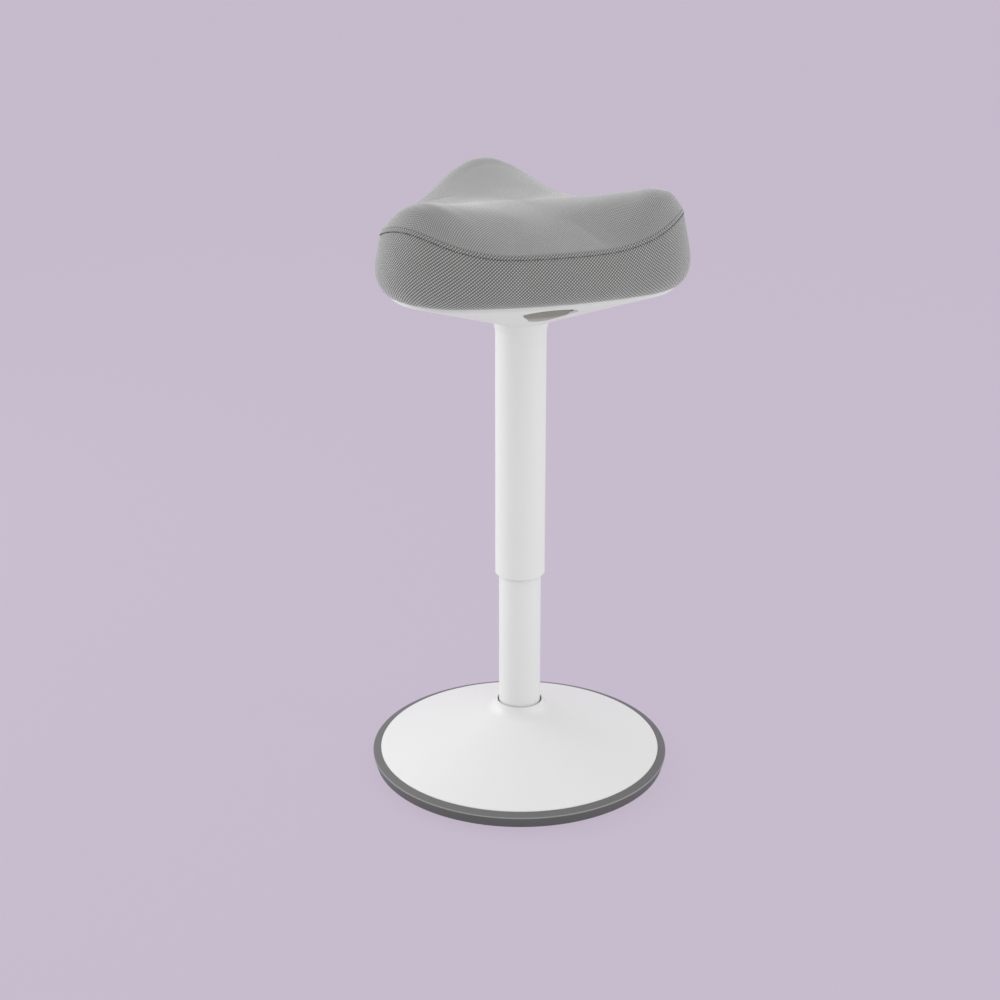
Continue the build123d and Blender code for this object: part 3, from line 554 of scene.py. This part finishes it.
def bumperRubber(form):
    # moulded rubber with painted light: a lighter top face, painted shade on the face under the edge, and a
    # painted highlight along the edge
    finish, tree, shader = newFinish("bumperRubber")
    where = place(tree)
    height = axisOf(tree, where, "Z")
    grime = ramp(tree, noise(tree, where, form["grimeScale"], 3.0), *form["grime"])
    # painted shade: darker below the edge, lighter on the top face, with random grime on the share
    onTop = calc(tree, "ADD", ramp(tree, height, 0.0, 1.0, *form["change"]), grime)
    colour = mixColour(tree, onTop, form["under"], form["top"])
    # painted highlight: a thin light line at the edge's height
    fromEdge = calc(tree, "ABSOLUTE", calc(tree, "SUBTRACT", height, form["edge"]))
    onPaintedHighlight = ramp(tree, fromEdge, form["edgeShare"], 0.0, *form["edgeFade"])
    tree.links.new(mixColour(tree, onPaintedHighlight, colour, form["edgePaintedHighlight"]), shader.inputs["Base Color"])
    fine = fineGrain(tree, where, form["grain"])
    tree.links.new(ramp(tree, fine, *form["roughness"]), shader.inputs["Roughness"])
    relief(tree, shader, fine, form["depth"])
    return finish


bareMetal = {
    "stretch": (1.0, 1.0, 12.0),
    "dull": 0.88,  # lightness between the drawn lines
    "glossChange": 0.06,
}


def metal(name, colour, roughness, grain, depth):
    # bare metal: fine drawn lines across the grain and a little change of gloss
    finish, tree, shader = newFinish(name)
    lines = noise(tree, stretched(tree, place(tree), bareMetal["stretch"]), grain, 3.0)
    tone = mixColour(tree, lines, dimmed(colour, bareMetal["dull"]), colour)
    tree.links.new(tone, shader.inputs["Base Color"])
    change = bareMetal["glossChange"]
    tree.links.new(ramp(tree, lines, roughness - change, roughness + change), shader.inputs["Roughness"])
    shader.inputs["Metallic"].default_value = 1.0
    relief(tree, shader, lines, depth)
    return finish


plywood = {
    "dark": (0.42, 0.28, 0.16, 1.0),
    "light": (0.68, 0.52, 0.34, 1.0),
    "twoPlies": 0.0028,
    "plyTone": (0.3, 0.7),
    "plyShare": (-0.1, 0.25),  # how far the plies and the grain move the colour from dark to light
    "grainShare": (0.0, 0.6),
    "grainScale": 6.0,
    "stretch": (2.0, 30.0, 30.0),
    "roughness": 0.7,
    "depth": 0.0002,
}


def layeredWood(form):
    # plywood: slow grain along X, and thin plies that change tone with height as a sine
    finish, tree, shader = newFinish("layeredWood")
    where = place(tree)
    grain = noise(tree, stretched(tree, where, form["stretch"]), form["grainScale"], 5.0, 0.6)
    turn = calc(tree, "MULTIPLY", axisOf(tree, where, "Z"), 2 * pi / form["twoPlies"])
    plies = ramp(tree, calc(tree, "SINE", turn), *form["plyTone"], -1, 1)
    share = calc(tree, "ADD", ramp(tree, grain, *form["grainShare"]), ramp(tree, plies, *form["plyShare"]))
    tree.links.new(mixColour(tree, share, form["dark"], form["light"]), shader.inputs["Base Color"])
    shader.inputs["Roughness"].default_value = form["roughness"]
    relief(tree, shader, grain, form["depth"])
    return finish


bandFabric = wovenFabric("bandFabric", *weave["band"], weave["depth"])
topFabric = wovenFabric("topFabric", *weave["top"], weave["depth"] * weave["topDepthShare"])
thread = sewingThread(threadTone)
warmWhite = (1.0, 1.0, 0.995)
slotFinish = {
    # coated: name, colour, roughness, grain scale, depth, mottle; metal: the same with no mottle
    "white_metal": coated("whitePaint", grey(0.80, warmWhite), 0.42, 1500.0, 0.00004, 0.015),
    "white_plastic": coated("whiteShellPlastic", grey(0.79, warmWhite), 0.5, 2400.0, 0.00004, 0.015),
    "grey_plastic": paddlePlastic(paddleTone),
    "bearing_plastic": coated("bearingPlastic", grey(0.66, (1.0, 0.98, 0.9)), 0.45, 1200.0, 0.00003, 0.04),
    "black_steel": coated("blackSteel", grey(0.028), 0.45, 900.0, 0.00005, 0.2),
    "ring_rubber": bumperRubber(bumperTone),
    "sole_rubber": coated("soleRubber", grey(0.055), 0.75, 1100.0, 0.00015, 0.15),
    "black_rubber": coated("blackRubber", grey(0.02), 0.7, 1500.0, 0.00006, 0.2),
    "zinc_steel": metal("zincSteel", (0.62, 0.62, 0.60, 1.0), 0.35, 700.0, 0.00003),
    "polished_steel": metal("polishedSteel", (0.72, 0.72, 0.74, 1.0), 0.12, 500.0, 0.00001),
    "light_alloy": metal("lightAlloy", (0.70, 0.70, 0.72, 1.0), 0.3, 600.0, 0.00003),
    "plywood": layeredWood(plywood),
}
for part in frame["record"]["subparts"]:
    finish = slotFinish.get(part["material_slot"])
    if finish:
        node = nodes[part["node"]]
        node.data.materials.clear()
        node.data.materials.append(finish)
print("finishes on the frame:", len(slotFinish))


# Cushion: a closed form, with the pocket's roof below and the saddle's middle above
def buildCushion(points, seamRow):
    rows, columns = points.shape[:2]
    everyPoint, faces = closedForm(points)
    piece = meshPiece("seatCushion", everyPoint, faces, [bandFabric, topFabric])
    which = np.zeros(len(faces), np.int32)
    which[seamRow * columns:(rows - 1) * columns] = 1
    which[-columns:] = 1
    piece.data.polygons.foreach_set("material_index", which)
    # painted shade along the seam, for the fabric's colour
    seamPaintedShade = piece.data.attributes.new("seamPaintedShade", "FLOAT", "POINT")
    seamPaintedShade.data.foreach_set("value", np.append(sewnShade.ravel(), [0.0, 0.0]).astype(np.float32))
    return piece


def weaveChart(piece, points, seamRow):
    # the band counts repeats round the seat and up from the seam; the top counts them along its own
    # surface away from the middle, in the direction each point has in plan
    rows, columns = points.shape[:2]
    mesh = piece.data
    loops = np.empty(len(mesh.loops), np.int32)
    mesh.loops.foreach_get("vertex_index", loops)
    sides = np.empty(len(mesh.polygons), np.int32)
    mesh.polygons.foreach_get("loop_total", sides)
    face = np.repeat(np.arange(len(sides)), sides)
    flat = np.empty(len(mesh.vertices) * 3)
    mesh.vertices.foreach_get("co", flat)
    flat = flat.reshape(-1, 3)

    repeats = round(rimLength / weave["repeat"])
    up = runFrom(points, seamRow) / weave["repeat"]
    column = loops % columns
    wrapped = np.where((column == 0) & (face % columns == columns - 1), columns, column)
    row = np.minimum(loops // columns, rows - 1)
    band = np.stack([wrapped * repeats / columns, up[row, column]], -1)

    away = np.linalg.norm(flat[:, :2], axis=1)
    toMiddle = runFrom(points, rows - 1) - np.linalg.norm(points[-1] - flat[-1], axis=-1)
    fromMiddle = np.zeros(len(flat))
    fromMiddle[:rows * columns] = -toMiddle.ravel()
    flattened = flat[:, :2] * (fromMiddle / np.maximum(away, tiny))[:, None]
    plan = flattened[loops] / weave["topRepeat"]

    onTop = face >= seamRow * columns
    chart = np.where(onTop[:, None], plan, band)
    layer = mesh.uv_layers.new(name="weave")
    layer.data.foreach_set("uv", chart.astype(np.float32).ravel())


seatCushion = buildCushion(cushion, seamRow)
weaveChart(seatCushion, cushion, seamRow)
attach(seatCushion, "seat")
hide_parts("cover_top", "cover_band", "seat_foam")
print("cushion built:", len(seatCushion.data.polygons), "faces")


# Topstitching: short threads laid along the line under the seam
stitching = {
    "pitch": 0.0031,
    "length": 0.0016,
    "thick": 0.0011,
    "rise": 0.0002,
    "rings": 7,
    "sides": 8,
    "endTurn": 0.96,  # share of a quarter turn from the thread's middle to its end ring
    "bluntness": 0.6,  # a lower power gives blunter ends
    "dipPower": 4,
    "dip": 0.45,  # how deep the ends sink, as a share of the thickness
}


def between(values, first, second, share):
    return values[first] * (1 - share) + values[second] * share


def alongLine(points, normals, offset, places):
    # points and normals at a given run from the seam, then read at even places round the seat
    run = runFrom(points, seamRow)
    after = np.argmax(run > offset, axis=0)
    columns = points.shape[1]
    column = np.arange(columns)
    low, high = run[after - 1, column], run[after, column]
    share = ((offset - low) / (high - low))[:, None]
    line = between(points, (after - 1, column), (after, column), share)
    lean = between(normals, (after - 1, column), (after, column), share)
    spot = places * columns
    first = np.floor(spot).astype(int) % columns
    second = (first + 1) % columns
    part = (spot - np.floor(spot))[:, None]
    return between(line, first, second, part), between(lean, first, second, part)


def buildStitches(form):
    count = round(rimLength / form["pitch"])
    normals = outward(cushion)
    middle, lean = alongLine(cushion, normals, -upholstery["stitchDrop"], np.arange(count) / count)
    ahead = np.roll(middle, -1, 0) - np.roll(middle, 1, 0)
    ahead = ahead / np.linalg.norm(ahead, axis=1, keepdims=True)
    lean = lean - ahead * (lean * ahead).sum(1, keepdims=True)
    lean = lean / np.linalg.norm(lean, axis=1, keepdims=True)
    aside = np.cross(lean, ahead)
    # one thread: an oval rod whose ends dip into the cloth, as rings of an angle along and an angle round
    slope = np.linspace(-1.0, 1.0, form["rings"]) * pi / 2 * form["endTurn"]
    angle = np.arange(form["sides"]) * 2 * pi / form["sides"]
    girth = np.cos(slope)[:, None] ** form["bluntness"] * form["thick"] / 2
    sunk = (np.abs(np.sin(slope)) ** form["dipPower"])[:, None] * form["thick"] * form["dip"]
    alongThread = np.sin(slope)[:, None] * form["length"] / 2 * np.ones_like(angle)
    acrossThread = girth * np.cos(angle)
    upThread = girth * np.sin(angle) + form["rise"] - sunk
    local = np.stack([alongThread, acrossThread, upThread], -1).reshape(-1, 3)
    axes = np.stack([ahead, aside, lean], 1)
    points = middle[:, None, :] + np.einsum("pk,skx->spx", local, axes)
    firstPoints = (np.arange(count) * len(local))[:, None, None]
    tube = gridFaces(form["rings"], form["sides"])
    quads = (tube[None] + firstPoints).reshape(-1, 4)
    ring = np.arange(form["sides"])
    ends = np.stack([ring[::-1], ring + (form["rings"] - 1) * form["sides"]])
    caps = (ends[None] + firstPoints).reshape(-1, form["sides"])
    faces = quads[:, ::-1].tolist() + caps[:, ::-1].tolist()
    return meshPiece("topStitching", points.reshape(-1, 3), faces, [thread])


topStitching = buildStitches(stitching)
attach(topStitching, "seat")
print("stitches built:", len(topStitching.data.polygons), "faces")


# Stage: pale floor, soft lamps and the camera
studio = {
    "floorColour": (0.571, 0.503, 0.610, 1.0),
    "floorSize": 300.0,
    "floorGlow": 0.90,  # share of the floor that keeps its own colour, the rest takes light and shadow
    "floorRoughness": 0.9,
    "floorSpecular": 0.1,
    "bounceColour": (0.85, 0.85, 0.85, 1.0),  # what the floor throws back on the stool
    "air": 0.81,
    "lamps": [
        # name, bearing from the camera, elevation, distance, size, watts
        ("leftLamp", -103.0, 15.0, 2.2, 1.2, 16.5),
        ("leftBackLamp", -126.0, 32.0, 2.2, 1.2, 5.0),
        ("rightFrontLamp", 62.0, 15.0, 2.2, 0.5, 6.0),
        ("rightLamp", 100.0, 15.0, 2.2, 1.2, 3.0),
    ],
    "aim": (0.0, 0.0, 0.45),
}
photoCamera = {
    "distance": 2.200,
    "height": 1.1805,
    "azimuth": -17.3,
    "pitch": 20.80,
    "yaw": -0.622,
    "lens": 71.89,
    "sensor": 36.0,
}


def seenDirectly(tree):  # one for the camera, for gloss and for glass, none for other light
    ray = tree.nodes.new("ShaderNodeLightPath")
    seen = calc(tree, "MAXIMUM", ray.outputs["Is Camera Ray"], ray.outputs["Is Glossy Ray"])
    return calc(tree, "MAXIMUM", seen, ray.outputs["Is Transmission Ray"])


def paleFloor():
    # a plain lit floor for every bounce; to the camera, to gloss and to glass, mostly its own colour
    finish, tree, shader = newFinish("paleFloor")
    seen = seenDirectly(tree)
    colour = mixColour(tree, seen, studio["bounceColour"], studio["floorColour"])
    tree.links.new(colour, shader.inputs["Base Color"])
    shader.inputs["Roughness"].default_value = studio["floorRoughness"]
    shader.inputs["Specular IOR Level"].default_value = studio["floorSpecular"]
    glow = tree.nodes.new("ShaderNodeEmission")
    glow.inputs["Color"].default_value = studio["floorColour"]
    both = tree.nodes.new("ShaderNodeMixShader")
    tree.links.new(calc(tree, "MULTIPLY", seen, studio["floorGlow"]), both.inputs["Fac"])
    tree.links.new(shader.outputs["BSDF"], both.inputs[1])
    tree.links.new(glow.outputs["Emission"], both.inputs[2])
    tree.links.new(both.outputs["Shader"], tree.nodes["Material Output"].inputs["Surface"])
    return finish


def buildStage():
    half = studio["floorSize"] / 2
    corners = [(-half, -half, 0.0), (half, -half, 0.0), (half, half, 0.0), (-half, half, 0.0)]
    floor = meshPiece("paleFloor", corners, [(0, 1, 2, 3)], [paleFloor()], smooth=False)
    world = bpy.data.worlds.new("studioAir")
    bpy.context.scene.world = world
    world.use_nodes = True
    tree = world.node_tree
    sky = mixColour(tree, seenDirectly(tree), grey(studio["air"]), studio["floorColour"])
    tree.links.new(sky, tree.nodes["Background"].inputs["Color"])
    for name, bearing, elevation, distance, size, watts in studio["lamps"]:
        lamp = bpy.data.lights.new(name, "AREA")
        lamp.size = size
        lamp.energy = watts
        holder = bpy.data.objects.new(name, lamp)
        bpy.context.scene.collection.objects.link(holder)
        turn = radians(photoCamera["azimuth"] + bearing)
        tilt = radians(elevation)
        away = (cos(tilt) * sin(turn), -cos(tilt) * cos(turn), sin(tilt))
        holder.location = [base + distance * part for base, part in zip(studio["aim"], away)]
        holder.rotation_euler = (pi / 2 - tilt, 0.0, turn)
    print("stage:", len(studio["lamps"]), "lamps")


def buildCamera():
    lens = bpy.data.cameras.new("photoCamera")
    lens.lens = photoCamera["lens"]
    lens.sensor_width = photoCamera["sensor"]
    camera = bpy.data.objects.new("photoCamera", lens)
    bpy.context.scene.collection.objects.link(camera)
    angle = radians(photoCamera["azimuth"])
    reach = photoCamera["distance"]
    camera.location = (sin(angle) * reach, -cos(angle) * reach, photoCamera["height"])
    tilt = radians(90.0 - photoCamera["pitch"])
    camera.rotation_euler = (tilt, 0.0, radians(photoCamera["azimuth"] - photoCamera["yaw"]))
    bpy.context.scene.camera = camera


buildStage()
buildCamera()
bpy.context.scene.view_settings.view_transform = "Standard"
